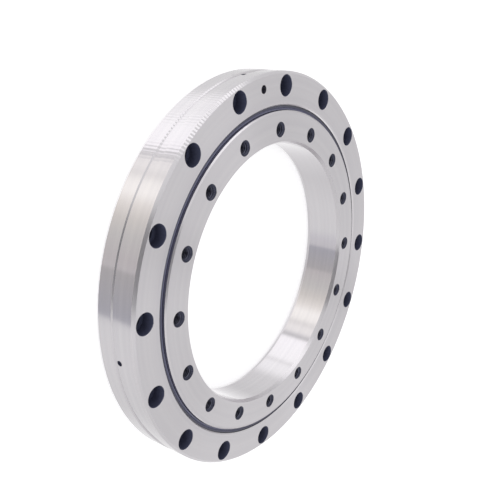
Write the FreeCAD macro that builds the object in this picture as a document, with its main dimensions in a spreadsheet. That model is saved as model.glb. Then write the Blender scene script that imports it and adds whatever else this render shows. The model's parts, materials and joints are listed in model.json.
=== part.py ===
"""Crossed roller bearing with screw holes in both rings, lying flat.

The frame's +Z is the bearing's axis, and the front face, the one with the counterbores, looks up.
The origin is the centre of the outer ring's back face. The roller filling plug lies on +X.

The rollers stand in one V groove between the rings, and their axes lean 45 degrees outwards and
inwards by turns. Plastic spacers keep them apart, and a rubber seal closes the gap on each side.
"""

import FreeCAD, Part
import os
import Sketcher

PARTS_FOLDER = "parts"
LEAN_DEG = 45.0
QUARTER_TURN_DEG = 90.0
HALF_TURN_DEG = 180.0
FULL_TURN_DEG = 360.0
OIL_HOLES_BESIDE_PLUG = 3

X_AXIS = FreeCAD.Vector(1, 0, 0)
Y_AXIS = FreeCAD.Vector(0, 1, 0)
Z_AXIS = FreeCAD.Vector(0, 0, 1)

# Driving dimensions: name, number in millimetres, degrees or pieces, and meaning
SIZES = [
    ("roller_circle", 187.2, "diameter of the circle through the rollers' centres"),
    ("roller_diameter", 8.0, "rolling diameter of a roller"),
    ("roller_count", 48, "rollers, an even number because they lean by turns"),
    ("roller_end_play", 0.2, "how much shorter a roller is than its diameter"),
    ("roller_chamfer", 0.4, "chamfer round each end of a roller"),
    ("track_clearance", 0.15, "gap between a roller and the walls of the V groove"),
    ("relief_width", 1.4, "width of the grinding relief at the bottom of a V groove"),
    ("relief_depth", 0.1, "depth of the grinding relief past the tip of the V"),
    ("spacer_clearance", 0.45, "gap between a spacer and the walls of the V groove"),
    ("saddle_clearance", 0.3, "gap between a spacer's hollow and the middle of its roller"),
    ("spacer_corner", 1.2, "chamfer along the four long edges of a spacer"),
    ("spacer_end_gap", 1.0, "how far a spacer ends short of the middle of its roller"),
    ("land_gap", 2.6, "gap between the rings beside the V groove"),
    ("ring_height", 24.6, "height of each ring"),
    ("inner_step", 0.8, "how far the inner ring stands proud in front"),
    ("inner_turn", 13.9, "angle from +X to a hole of the inner ring, as it stands"),
    ("outer_web", 10.1, "from the outer ring's land to its screw circle"),
    ("outer_margin", 7.5, "from the outer ring's screw circle to its rim"),
    ("inner_web", 9.8, "from the inner ring's land to its screw circle"),
    ("inner_margin", 7.5, "from the inner ring's screw circle to the bore"),
    ("rim_chamfer", 1.4, "chamfer on the outer ring's rim"),
    ("bore_chamfer", 1.1, "width of the chamfer on the inner ring's bore"),
    ("bore_lead_in", 2.2, "length of that chamfer along the bore"),
    ("outer_land_chamfer", 0.65, "chamfer on the outer ring, beside the seal"),
    ("inner_land_chamfer", 0.7, "chamfer on the inner ring, beside the seal"),
    ("screw_count", 16, "screw holes in each ring"),
    ("screw_hole", 6.6, "clearance hole through the outer ring"),
    ("screw_head_hole", 11.0, "counterbore for the screw's head"),
    ("screw_head_depth", 6.8, "depth of that counterbore"),
    ("tapped_hole", 6.0, "nominal diameter of the inner ring's tapped holes"),
    ("tapped_mouth", 8.4, "diameter of their countersinks"),
    ("hole_chamfer", 0.3, "chamfer round the ends of the counterbored holes"),
    ("oil_groove_width", 5.4, "width of the groove round the rim, at its mouth"),
    ("oil_groove_depth", 0.6, "depth of that groove; its sides slope at 45 degrees"),
    ("oil_hole", 3.0, "radial hole from the groove to the rollers"),
    ("plug_diameter", 12.0, "roller filling plug"),
    ("plug_clearance", 0.05, "gap round the plug in its hole"),
    ("pin_diameter", 4.3, "pin that locks the plug"),
    ("pin_clearance", 0.05, "gap round the pin in its hole"),
    ("pin_recess", 1.6, "how far the pin's end lies under the front face"),
    ("pin_hole_depth", 20.6, "depth of the pin's hole from the front face"),
    ("pin_chamfer", 0.5, "chamfer on the pin's ends"),
    ("seal_recess", 1.0, "how far a seal lies under the outer ring's face"),
    ("seal_height", 2.6, "height of a seal's body"),
    ("seal_flat", 0.9, "width of the flat band on a seal"),
    ("seal_groove_shoulder", 0.5, "from a seal's top to the top of its groove"),
    ("seal_groove_width", 1.6, "width of the groove that holds a seal's bead"),
    ("seal_groove_depth", 1.2, "depth of that groove"),
    ("seal_clearance", 0.1, "gap round a seal in the outer ring"),
    ("lip_clearance", 0.2, "running gap between a seal's lip and the inner ring"),
    ("lip_height", 0.7, "height of the lip's edge"),
    ("lip_drop", 0.3, "how far the lip's edge lies under the seal's flat band"),
    ("lip_hollow", 0.6, "depth of the hollow between the flat band and the lip"),
]

# Places that several pieces share, as expressions on the sheet's sizes
RACE_CENTRE = "(Sizes.roller_circle / 2)"
RACE_HEIGHT = "((Sizes.ring_height + Sizes.inner_step) / 2)"
RACE_REACH = "((Sizes.roller_diameter / 2 + Sizes.track_clearance) * sqrt(2))"
OUTER_LAND = f"({RACE_CENTRE} + Sizes.land_gap / 2)"
INNER_LAND = f"({RACE_CENTRE} - Sizes.land_gap / 2)"
OUTER_SCREWS = f"({OUTER_LAND} + Sizes.outer_web)"
INNER_SCREWS = f"({INNER_LAND} - Sizes.inner_web)"
RIM = f"({OUTER_SCREWS} + Sizes.outer_margin)"
BORE = f"({INNER_SCREWS} - Sizes.inner_margin)"
OIL_GROOVE_FLOOR = f"({RIM} - Sizes.oil_groove_depth)"
OUTER_TIP = f"({RACE_CENTRE} + {RACE_REACH})"
INNER_TIP = f"({RACE_CENTRE} - {RACE_REACH})"
SEAL_GROOVE_TOP = "(Sizes.seal_recess + Sizes.seal_groove_shoulder)"
SEAL_GROOVE_BOTTOM = f"({SEAL_GROOVE_TOP} + Sizes.seal_groove_width)"
SEAL_GROOVE_WALL = f"({OUTER_LAND} + Sizes.seal_groove_depth)"
SEAL_DEPTH = "(Sizes.seal_recess + Sizes.seal_height)"
ROLLER_LENGTH = "(Sizes.roller_diameter - Sizes.roller_end_play)"
PLUG_HOLE = "(Sizes.plug_diameter + 2 * Sizes.plug_clearance)"
PIN_HOLE = "(Sizes.pin_diameter + 2 * Sizes.pin_clearance)"
PIN_FLOOR = "(Sizes.ring_height - Sizes.pin_hole_depth)"
HALF_ROLLER_PITCH = "(180 deg / Sizes.roller_count)"
SPACER_RADIUS = f"({RACE_CENTRE} * cos({HALF_ROLLER_PITCH}))"
HALF_SPACER_CHORD = f"({RACE_CENTRE} * sin({HALF_ROLLER_PITCH}))"


def make_sheet(document):
    """The driving dimensions, one row each."""
    sheet = document.addObject("Spreadsheet::Sheet", "Sizes")
    for row, (alias, number, meaning) in enumerate(SIZES, start=1):
        sheet.set(f"A{row}", alias)
        sheet.set(f"B{row}", str(number))
        sheet.setAlias(f"B{row}", alias)
        sheet.set(f"C{row}", meaning)
    document.recompute()
    return sheet


def number_of(item, expression):
    """The value of an expression, in millimetres, degrees or as a plain number."""
    found = item.evalExpression(expression)
    return float(getattr(found, "Value", found))


def origin_feature(body, role):
    """One of the body's own origin planes or axes."""
    return next(item for item in body.Origin.OriginFeatures if item.Role == role)


def make_body(document, name):
    """An empty body whose label is its node's name."""
    body = document.addObject("PartDesign::Body", name)
    body.Label = name
    return body


def make_sketch(body, name, plane, lift=None):
    """An empty sketch on one of the body's planes, or lifted off it by an expression."""
    sketch = body.newObject("Sketcher::SketchObject", name)
    sketch.AttachmentSupport = [(origin_feature(body, plane), "")]
    sketch.MapMode = "FlatFace"
    if lift is not None:
        sketch.setExpression("AttachmentOffset.Base.z", lift)
    return sketch


def dimension_point(sketch, geometry, point, place):
    """Dimension a point of the sketch from its origin, one expression each way."""
    for kind, expression in zip(("DistanceX", "DistanceY"), place):
        start = number_of(sketch, expression)
        index = sketch.addConstraint(Sketcher.Constraint(kind, -1, 1, geometry, point, start))
        sketch.setExpression(f"Constraints[{index}]", expression)


def draw_outline(sketch, corners):
    """A closed outline of straight edges through corners given as pairs of expressions."""
    points = [FreeCAD.Vector(number_of(sketch, x), number_of(sketch, y), 0) for x, y in corners]
    first = len(sketch.Geometry)
    count = len(points)
    for index in range(count):
        sketch.addGeometry(Part.LineSegment(points[index], points[(index + 1) % count]))
    for index in range(count):
        following = first + (index + 1) % count
        sketch.addConstraint(Sketcher.Constraint("Coincident", first + index, 2, following, 1))
    for index, corner in enumerate(corners):
        dimension_point(sketch, first + index, 1, corner)


def draw_circle(sketch, centre, diameter):
    """A circle with its centre and its diameter bound to expressions."""
    middle = FreeCAD.Vector(number_of(sketch, centre[0]), number_of(sketch, centre[1]), 0)
    size = number_of(sketch, diameter)
    circle = sketch.addGeometry(Part.Circle(middle, Z_AXIS, size / 2))
    dimension_point(sketch, circle, 3, centre)
    index = sketch.addConstraint(Sketcher.Constraint("Diameter", circle, size))
    sketch.setExpression(f"Constraints[{index}]", diameter)


def revolve(body, sketch, angle=None):
    """Turn a section about the body's Z axis, all the way or by an angle centred on it."""
    turned = body.newObject("PartDesign::Revolution", "Turned")
    turned.Profile = sketch
    turned.ReferenceAxis = (sketch, ["V_Axis"])
    turned.Angle = FULL_TURN_DEG
    if angle is not None:
        turned.Midplane = True
        turned.setExpression("Angle", angle)
    body.Document.recompute()
    return turned


def require_cut(body, volume_before):
    """Stop if the newest cut took nothing from the body."""
    if body.Shape.Volume >= volume_before:
        raise RuntimeError(f"a cut in {body.Label} took nothing away")


def pocket(body, sketch, name, depth=None, forward=False):
    """Cut a sketch into the body, all the way through or as deep as an expression says."""
    volume_before = body.Shape.Volume
    cut = body.newObject("PartDesign::Pocket", name)
    cut.Profile = sketch
    cut.Reversed = forward
    cut.Type = "ThroughAll" if depth is None else "Length"
    if depth is not None:
        cut.setExpression("Length", depth)
    body.Document.recompute()
    require_cut(body, volume_before)
    return cut


def drill(body, spot, name, diameter, mouth, depth=None, forward=False):
    """A hole with a countersunk mouth at the circle in a sketch, through or as deep as told."""
    volume_before = body.Shape.Volume
    hole = body.newObject("PartDesign::Hole", name)
    hole.Profile = spot
    hole.Reversed = forward
    hole.DepthType = "ThroughAll" if depth is None else "Dimension"
    hole.DrillPoint = "Flat"
    hole.setExpression("Diameter", diameter)
    if depth is not None:
        hole.setExpression("Depth", depth)
    body.Document.recompute()
    hole.HoleCutType = "Countersink"
    hole.HoleCutCustomValues = True
    hole.setExpression("HoleCutDiameter", mouth)
    hole.HoleCutCountersinkAngle = QUARTER_TURN_DEG
    body.Document.recompute()
    require_cut(body, volume_before)
    return hole


def repeat_round(body, features, name, count, angle_deg=FULL_TURN_DEG):
    """Repeat features about the body's Z axis; count is a number or an expression."""
    pattern = body.newObject("PartDesign::PolarPattern", name)
    pattern.Originals = features
    pattern.Axis = (origin_feature(body, "Z_Axis"), [""])
    pattern.Angle = angle_deg
    if isinstance(count, str):
        pattern.setExpression("Occurrences", count)
    else:
        pattern.Occurrences = count
    body.Tip = pattern
    body.Document.recompute()
    return pattern


def outer_ring_section():
    """Corners of the outer ring's section: rim with its groove, seal grooves and V groove."""
    groove_low = f"({RACE_HEIGHT} - Sizes.oil_groove_width / 2)"
    groove_high = f"({RACE_HEIGHT} + Sizes.oil_groove_width / 2)"
    half_mouth = f"({OUTER_TIP} - {OUTER_LAND})"
    relief_start = f"({OUTER_TIP} - Sizes.relief_width / 2)"
    relief_floor = f"({OUTER_TIP} + Sizes.relief_depth)"
    return [
        (f"{OUTER_LAND} + Sizes.outer_land_chamfer", "0"),
        (f"{RIM} - Sizes.rim_chamfer", "0"),
        (RIM, "Sizes.rim_chamfer"),
        (RIM, groove_low),
        (OIL_GROOVE_FLOOR, f"{groove_low} + Sizes.oil_groove_depth"),
        (OIL_GROOVE_FLOOR, f"{groove_high} - Sizes.oil_groove_depth"),
        (RIM, groove_high),
        (RIM, "Sizes.ring_height - Sizes.rim_chamfer"),
        (f"{RIM} - Sizes.rim_chamfer", "Sizes.ring_height"),
        (f"{OUTER_LAND} + Sizes.outer_land_chamfer", "Sizes.ring_height"),
        (OUTER_LAND, "Sizes.ring_height - Sizes.outer_land_chamfer"),
        (OUTER_LAND, f"Sizes.ring_height - {SEAL_GROOVE_TOP}"),
        (SEAL_GROOVE_WALL, f"Sizes.ring_height - {SEAL_GROOVE_TOP}"),
        (SEAL_GROOVE_WALL, f"Sizes.ring_height - {SEAL_GROOVE_BOTTOM}"),
        (OUTER_LAND, f"Sizes.ring_height - {SEAL_GROOVE_BOTTOM}"),
        (OUTER_LAND, f"{RACE_HEIGHT} + {half_mouth}"),
        (relief_start, f"{RACE_HEIGHT} + Sizes.relief_width / 2"),
        (relief_floor, f"{RACE_HEIGHT} + Sizes.relief_width / 2"),
        (relief_floor, f"{RACE_HEIGHT} - Sizes.relief_width / 2"),
        (relief_start, f"{RACE_HEIGHT} - Sizes.relief_width / 2"),
        (OUTER_LAND, f"{RACE_HEIGHT} - {half_mouth}"),
        (OUTER_LAND, SEAL_GROOVE_BOTTOM),
        (SEAL_GROOVE_WALL, SEAL_GROOVE_BOTTOM),
        (SEAL_GROOVE_WALL, SEAL_GROOVE_TOP),
        (OUTER_LAND, SEAL_GROOVE_TOP),
        (OUTER_LAND, "Sizes.outer_land_chamfer"),
    ]


def inner_ring_section():
    """Corners of the inner ring's section: bore, faces, lands and V groove."""
    race = f"({RACE_HEIGHT} - Sizes.inner_step)"
    half_mouth = f"({INNER_LAND} - {INNER_TIP})"
    relief_start = f"({INNER_TIP} + Sizes.relief_width / 2)"
    relief_floor = f"({INNER_TIP} - Sizes.relief_depth)"
    return [
        (f"{BORE} + Sizes.bore_chamfer", "0"),
        (f"{INNER_LAND} - Sizes.inner_land_chamfer", "0"),
        (INNER_LAND, "Sizes.inner_land_chamfer"),
        (INNER_LAND, f"{race} - {half_mouth}"),
        (relief_start, f"{race} - Sizes.relief_width / 2"),
        (relief_floor, f"{race} - Sizes.relief_width / 2"),
        (relief_floor, f"{race} + Sizes.relief_width / 2"),
        (relief_start, f"{race} + Sizes.relief_width / 2"),
        (INNER_LAND, f"{race} + {half_mouth}"),
        (INNER_LAND, "Sizes.ring_height - Sizes.inner_land_chamfer"),
        (f"{INNER_LAND} - Sizes.inner_land_chamfer", "Sizes.ring_height"),
        (f"{BORE} + Sizes.bore_chamfer", "Sizes.ring_height"),
        (BORE, "Sizes.ring_height - Sizes.bore_lead_in"),
        (BORE, "Sizes.bore_lead_in"),
    ]


def seal_section():
    """Corners of a seal's section: bead in its groove, flat band, hollow and lip."""
    outside = f"({OUTER_LAND} - Sizes.seal_clearance)"
    bead = f"({SEAL_GROOVE_WALL} - Sizes.seal_clearance)"
    bead_low = f"{SEAL_DEPTH} - {SEAL_GROOVE_BOTTOM} + Sizes.seal_clearance"
    bead_high = f"{SEAL_DEPTH} - {SEAL_GROOVE_TOP} - Sizes.seal_clearance"
    band_end = f"({outside} - Sizes.seal_flat)"
    lip = f"({INNER_LAND} + Sizes.lip_clearance)"
    return [
        (outside, "0"),
        (outside, bead_low),
        (bead, bead_low),
        (bead, bead_high),
        (outside, bead_high),
        (outside, "Sizes.seal_height"),
        (band_end, "Sizes.seal_height"),
        (f"({band_end} + {lip}) / 2", "Sizes.seal_height - Sizes.lip_hollow"),
        (lip, "Sizes.seal_height - Sizes.lip_drop"),
        (lip, "Sizes.seal_height - Sizes.lip_drop - Sizes.lip_height"),
        (band_end, "0"),
    ]


def make_outer_ring(document):
    """Outer ring: V groove, filling hole, counterbored screw holes, pin hole and oil holes."""
    body = make_body(document, "outer_ring")
    section = make_sketch(body, "OuterSection", "XZ_Plane")
    draw_outline(section, outer_ring_section())
    revolve(body, section)

    filling = make_sketch(body, "FillingHole", "YZ_Plane")
    draw_circle(filling, ("0", RACE_HEIGHT), PLUG_HOLE)
    pocket(body, filling, "FillingHoleCut", depth=f"{RIM} + Sizes.plug_diameter", forward=True)

    pin_hole = make_sketch(body, "PinHole", "XY_Plane", lift="Sizes.ring_height")
    draw_circle(pin_hole, (OUTER_SCREWS, "0"), PIN_HOLE)
    pocket(body, pin_hole, "PinHoleCut", depth="Sizes.pin_hole_depth")

    oil = make_sketch(body, "OilHole", "XZ_Plane")
    draw_circle(oil, ("0", RACE_HEIGHT), "Sizes.oil_hole")
    oil_cut = pocket(body, oil, "OilHoleCut", depth=f"{RIM} + Sizes.oil_hole")
    repeat_round(body, [oil_cut], "OilHoles", OIL_HOLES_BESIDE_PLUG, HALF_TURN_DEG)

    half_pitch = "(180 deg / Sizes.screw_count)"
    place = (f"{OUTER_SCREWS} * cos({half_pitch})", f"{OUTER_SCREWS} * sin({half_pitch})")
    back_spot = make_sketch(body, "ScrewSpot", "XY_Plane")
    draw_circle(back_spot, place, "Sizes.screw_hole")
    mouth = "Sizes.screw_hole + 2 * Sizes.hole_chamfer"
    hole = drill(body, back_spot, "ScrewHole", "Sizes.screw_hole", mouth, forward=True)

    front_spot = make_sketch(body, "ScrewHeadSpot", "XY_Plane", lift="Sizes.ring_height")
    draw_circle(front_spot, place, "Sizes.screw_head_hole")
    mouth = "Sizes.screw_head_hole + 2 * Sizes.hole_chamfer"
    depth = "Sizes.screw_head_depth"
    head = drill(body, front_spot, "ScrewHeadHole", "Sizes.screw_head_hole", mouth, depth)
    repeat_round(body, [hole, head], "ScrewHoles", "Sizes.screw_count")
    return body


def make_inner_ring(document):
    """Inner ring: V groove and tapped holes, countersunk at both ends, turned as it stands."""
    body = make_body(document, "inner_ring")
    section = make_sketch(body, "InnerSection", "XZ_Plane")
    draw_outline(section, inner_ring_section())
    revolve(body, section)

    size = ("Sizes.tapped_hole", "Sizes.tapped_mouth")
    front_spot = make_sketch(body, "TappedSpot", "XY_Plane", lift="Sizes.ring_height")
    draw_circle(front_spot, (INNER_SCREWS, "0"), "Sizes.tapped_hole")
    hole = drill(body, front_spot, "TappedHole", *size)

    back_spot = make_sketch(body, "TappedBackSpot", "XY_Plane")
    draw_circle(back_spot, (INNER_SCREWS, "0"), "Sizes.tapped_hole")
    back_end = drill(body, back_spot, "TappedHoleBack", *size, forward=True)
    repeat_round(body, [hole, back_end], "TappedHoles", "Sizes.screw_count")

    body.Placement = FreeCAD.Placement(FreeCAD.Vector(), FreeCAD.Rotation(Z_AXIS, 1))
    body.setExpression("Placement.Base.z", "Sizes.inner_step")
    body.setExpression("Placement.Rotation.Angle", "Sizes.inner_turn * 1 deg")
    return body


def make_filling_plug(document):
    """Round plug of the filling hole, with the ring's own section at both of its ends."""
    body = make_body(document, "filling_plug")
    section = make_sketch(body, "PlugSection", "XZ_Plane")
    draw_outline(section, outer_ring_section())
    revolve(body, section, angle=f"4 * asin(Sizes.plug_diameter / 2 / {OUTER_LAND})")

    trim = make_sketch(body, "PlugOutline", "YZ_Plane")
    side = "2 * Sizes.plug_diameter"
    below = "-Sizes.rim_chamfer"
    above = "Sizes.ring_height + Sizes.rim_chamfer"
    draw_outline(trim, [(f"-{side}", below), (side, below), (side, above), (f"-{side}", above)])
    draw_circle(trim, ("0", RACE_HEIGHT), "Sizes.plug_diameter")
    pocket(body, trim, "PlugTurning", forward=True)

    oil = make_sketch(body, "PlugOilHole", "YZ_Plane")
    draw_circle(oil, ("0", RACE_HEIGHT), "Sizes.oil_hole")
    pocket(body, oil, "PlugOilHoleCut", forward=True)

    pin_hole = make_sketch(body, "PlugPinHole", "XY_Plane")
    draw_circle(pin_hole, (OUTER_SCREWS, "0"), PIN_HOLE)
    pocket(body, pin_hole, "PlugPinHoleCut", forward=True)
    return body


def make_plug_pin(document):
    """Straight pin through ring and plug, standing on the floor of its hole."""
    body = make_body(document, "plug_pin")
    length = "(Sizes.pin_hole_depth - Sizes.pin_recess)"
    radius = "(Sizes.pin_diameter / 2)"
    section = make_sketch(body, "PinSection", "XZ_Plane")
    draw_outline(
        section,
        [
            ("0", "0"),
            (f"{radius} - Sizes.pin_chamfer", "0"),
            (radius, "Sizes.pin_chamfer"),
            (radius, f"{length} - Sizes.pin_chamfer"),
            (f"{radius} - Sizes.pin_chamfer", length),
            ("0", length),
        ],
    )
    revolve(body, section)
    body.setExpression("Placement.Base.x", OUTER_SCREWS)
    body.setExpression("Placement.Base.z", PIN_FLOOR)
    return body


def make_seal(document, name, in_front):
    """Rubber seal ring; the back one is the front one turned over."""
    body = make_body(document, name)
    section = make_sketch(body, "SealSection", "XZ_Plane")
    draw_outline(section, seal_section())
    revolve(body, section)
    if in_front:
        body.setExpression("Placement.Base.z", f"Sizes.ring_height - {SEAL_DEPTH}")
    else:
        turned_over = FreeCAD.Rotation(X_AXIS, HALF_TURN_DEG)
        body.Placement = FreeCAD.Placement(FreeCAD.Vector(), turned_over)
        body.setExpression("Placement.Base.z", SEAL_DEPTH)
    return body


def roller_lean(number):
    """Angle of a roller's axis from upright, outwards on even numbers and inwards on odd ones."""
    return LEAN_DEG if number % 2 == 0 else -LEAN_DEG


def make_roller(document, number, count):
    """Cylindrical roller in its place round the V groove."""
    body = make_body(document, f"roller_{number + 1:02d}")
    radius = "(Sizes.roller_diameter / 2)"
    half = f"({ROLLER_LENGTH} / 2)"
    section = make_sketch(body, "RollerSection", "XZ_Plane")
    draw_outline(
        section,
        [
            ("0", f"-{half}"),
            (f"{radius} - Sizes.roller_chamfer", f"-{half}"),
            (radius, f"Sizes.roller_chamfer - {half}"),
            (radius, f"{half} - Sizes.roller_chamfer"),
            (f"{radius} - Sizes.roller_chamfer", half),
            ("0", half),
        ],
    )
    revolve(body, section)

    angle_deg = FULL_TURN_DEG * number / count
    round_axis = FreeCAD.Rotation(Z_AXIS, angle_deg)
    leaning = FreeCAD.Rotation(Y_AXIS, roller_lean(number))
    body.Placement = FreeCAD.Placement(FreeCAD.Vector(), round_axis * leaning)
    body.setExpression("Placement.Base.x", f"{RACE_CENTRE} * cos({angle_deg} deg)")
    body.setExpression("Placement.Base.y", f"{RACE_CENTRE} * sin({angle_deg} deg)")
    body.setExpression("Placement.Base.z", RACE_HEIGHT)
    return body


def spacer_outline():
    """Corners of a spacer's section: a square on its tip with its corners cut off."""
    tip = f"({RACE_REACH} - Sizes.spacer_clearance * sqrt(2))"
    cut = "(Sizes.spacer_corner / sqrt(2))"
    side = f"({tip} - {cut})"
    return [
        (side, cut),
        (cut, side),
        (f"-{cut}", side),
        (f"-{side}", cut),
        (f"-{side}", f"-{cut}"),
        (f"-{cut}", f"-{side}"),
        (cut, f"-{side}"),
        (side, f"-{cut}"),
    ]


def hollow_saddle(body, side):
    """Hollow one end of a spacer for the roller beside it; side is -1 or 1 along Y."""
    volume_before = body.Shape.Volume
    saddle = body.newObject("PartDesign::SubtractiveCylinder", "Saddle")
    saddle.setExpression("Radius", "Sizes.roller_diameter / 2 + Sizes.saddle_clearance")
    saddle.setExpression("Height", "2 * Sizes.roller_diameter")
    leaning = FreeCAD.Rotation(Y_AXIS, -side * LEAN_DEG)
    middle = FreeCAD.Vector(0, side * number_of(body, HALF_SPACER_CHORD), 0)
    to_end = leaning.multVec(Z_AXIS) * number_of(body, "Sizes.roller_diameter")
    saddle.Placement = FreeCAD.Placement(middle - to_end, leaning)
    body.Document.recompute()
    require_cut(body, volume_before)


def make_spacer_pattern(document):
    """The spacer that all the others copy, with X radial and Y along the ring."""
    body = make_body(document, "spacer_pattern")
    section = make_sketch(body, "SpacerSection", "XZ_Plane")
    draw_outline(section, spacer_outline())
    block = body.newObject("PartDesign::Pad", "Block")
    block.Profile = section
    block.Midplane = True
    block.setExpression("Length", f"2 * ({HALF_SPACER_CHORD} - Sizes.spacer_end_gap)")
    document.recompute()
    hollow_saddle(body, -1)
    hollow_saddle(body, 1)
    return body


def make_spacers(document, pattern, count):
    """All spacers as one group, each turned a quarter about its length from the one before."""
    pitch_deg = FULL_TURN_DEG / count
    out = FreeCAD.Vector(number_of(pattern, SPACER_RADIUS), 0, number_of(pattern, RACE_HEIGHT))
    copies = []
    for number in range(count):
        round_axis = FreeCAD.Rotation(Z_AXIS, (number + 0.5) * pitch_deg)
        rolled = FreeCAD.Rotation(Y_AXIS, QUARTER_TURN_DEG * (number % 2))
        copy = pattern.Shape.copy()
        copy.Placement = FreeCAD.Placement(round_axis.multVec(out), round_axis * rolled)
        copies.append(copy)
    group = document.addObject("Part::Feature", "roller_spacers")
    group.Label = "roller_spacers"
    group.Shape = Part.makeCompound(copies)
    return group


def check_document(document, nodes):
    """Stop unless every object is up to date and every piece is a valid, filled shape."""
    for item in document.Objects:
        if "Invalid" in item.State or "Error" in item.State:
            raise RuntimeError(f"{item.Label} did not rebuild: {item.State}")
    for node in nodes:
        if node.Shape.isNull() or not node.Shape.isValid() or not node.Shape.Solids:
            raise RuntimeError(f"{node.Label} has no valid shape")


def main():
    document = FreeCAD.newDocument("CrossedRollerBearing")
    sheet = make_sheet(document)
    roller_count = int(sheet.roller_count)
    nodes = [
        make_outer_ring(document),
        make_inner_ring(document),
        make_filling_plug(document),
        make_plug_pin(document),
        make_seal(document, "front_seal", in_front=True),
        make_seal(document, "back_seal", in_front=False),
        make_spacers(document, make_spacer_pattern(document), roller_count),
    ]
    nodes += [make_roller(document, number, roller_count) for number in range(roller_count)]
    document.recompute()
    check_document(document, nodes)

    os.makedirs(PARTS_FOLDER, exist_ok=True)
    for node in nodes:
        node.Shape.exportStep(os.path.join(PARTS_FOLDER, f"{node.Label}.step"))
        print(f"{node.Label}: {len(node.Shape.Solids)} solid, {node.Shape.Volume:.1f} mm3")


main()
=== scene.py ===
"""Looks of the crossed roller bearing: its finishes, its screw threads, the studio and the camera.

The part lies flat, with its front face up, as it would be set down on a bench. The camera looks at
it along the face and is rolled over, which is how the ring comes to look upright in the picture.
"""

import json
import logging
import math
from dataclasses import dataclass, field
from enum import Enum

import bmesh
import bpy
from mathutils import Matrix, Quaternion, Vector


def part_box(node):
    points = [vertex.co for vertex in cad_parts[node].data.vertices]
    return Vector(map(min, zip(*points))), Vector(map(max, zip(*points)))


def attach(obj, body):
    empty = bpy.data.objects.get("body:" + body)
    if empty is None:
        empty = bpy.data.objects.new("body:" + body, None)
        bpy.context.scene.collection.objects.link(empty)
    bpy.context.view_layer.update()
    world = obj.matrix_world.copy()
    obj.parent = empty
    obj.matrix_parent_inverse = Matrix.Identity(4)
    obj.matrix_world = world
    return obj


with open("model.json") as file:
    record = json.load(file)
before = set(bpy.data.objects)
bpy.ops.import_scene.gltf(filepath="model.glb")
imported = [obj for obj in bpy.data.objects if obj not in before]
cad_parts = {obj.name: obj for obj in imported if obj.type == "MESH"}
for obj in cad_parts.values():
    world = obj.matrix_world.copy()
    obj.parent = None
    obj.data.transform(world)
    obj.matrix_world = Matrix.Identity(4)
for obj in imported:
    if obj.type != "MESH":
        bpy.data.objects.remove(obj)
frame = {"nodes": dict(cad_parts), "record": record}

LOG = logging.getLogger("crossed_roller_bearing")
MM = 0.001
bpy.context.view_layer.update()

# Noise seldom leaves this range
NOISE_LOW = 0.3
NOISE_HIGH = 0.7

# Upward part of the normal, under which a surface is a wall and over which it is a face
WALL_LIMIT = 0.3
FACE_LIMIT = 0.9

# A quarter turn lays the stretch of a highlight across the tangent
QUARTER_TURN = 0.25


class Cut(Enum):
    """How a steel surface was cut: its roughness, the stretch of its highlights and its marks' depth."""

    TURNED_FACE = (0.36, 1.0, 1.0)
    GROUND_WALL = (0.14, 0.8, 0.3)
    CHAMFER = (0.3, 0.5, 0.6)

    @property
    def roughness(self) -> float:
        """Roughness of the surface."""
        return self.value[0]

    @property
    def stretch(self) -> float:
        """Strength of the stretch across the marks."""
        return self.value[1]

    @property
    def marks(self) -> float:
        """How plainly the tool's marks show."""
        return self.value[2]


def linear(hex_colour: str) -> tuple[float, float, float, float]:
    """Turn an sRGB hex colour into the linear values that the shaders take.

    Args:
        hex_colour: six hex digits after a hash sign.

    Returns:
        Red, green, blue and an alpha of 1, linear.
    """
    channels = [int(hex_colour[i : i + 2], 16) / 255 for i in (1, 3, 5)]
    bent = [c / 12.92 if c <= 0.04045 else ((c + 0.055) / 1.055) ** 2.4 for c in channels]
    return (bent[0], bent[1], bent[2], 1.0)


def add_node(
    tree: bpy.types.NodeTree,
    kind: str,
    settings: dict[str, object] | None = None,
    inputs: dict[str | int, object] | None = None,
) -> bpy.types.Node:
    """Add a node with its settings, and fill or link its inputs.

    Args:
        tree: the node tree that gets the node.
        kind: the node's type name.
        settings: properties of the node by name.
        inputs: values or other nodes' sockets, by the input's name or number.

    Returns:
        The new node.
    """
    node = tree.nodes.new(kind)
    for name, value in (settings or {}).items():
        setattr(node, name, value)
    for name, value in (inputs or {}).items():
        if isinstance(value, bpy.types.NodeSocket):
            tree.links.new(value, node.inputs[name])
        else:
            node.inputs[name].default_value = value
    return node


def new_material(name: str) -> tuple[bpy.types.Material, bpy.types.NodeTree]:
    """Make an empty node material.

    Args:
        name: the material's name.

    Returns:
        The material and its cleared node tree.
    """
    material = bpy.data.materials.new(name)
    material.use_nodes = True
    material.node_tree.nodes.clear()
    return material, material.node_tree


def give_surface(tree: bpy.types.NodeTree, shader: bpy.types.NodeSocket) -> None:
    """Lead a shader to the material's surface output."""
    add_node(tree, "ShaderNodeOutputMaterial", inputs={"Surface": shader})


def dress(piece: bpy.types.Object, material: bpy.types.Material) -> None:
    """Give every material slot of a piece the same material.

    Args:
        piece: the piece to dress.
        material: its material.
    """
    if not piece.material_slots:
        piece.data.materials.append(material)
    for material_slot in piece.material_slots:
        material_slot.material = material


def mesh_object(name: str, work: bmesh.types.BMesh, smooth: bool = True) -> bpy.types.Object:
    """Turn a finished bmesh into an object at the origin.

    Args:
        name: name of the object and its mesh.
        work: the bmesh, which is freed.
        smooth: whether its faces are shaded smooth.

    Returns:
        The object, linked to the scene.
    """
    mesh = bpy.data.meshes.new(name)
    work.to_mesh(mesh)
    work.free()
    if smooth:
        mesh.shade_smooth()
    else:
        mesh.shade_flat()
    piece = bpy.data.objects.new(name, mesh)
    bpy.context.scene.collection.objects.link(piece)
    return piece


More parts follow.
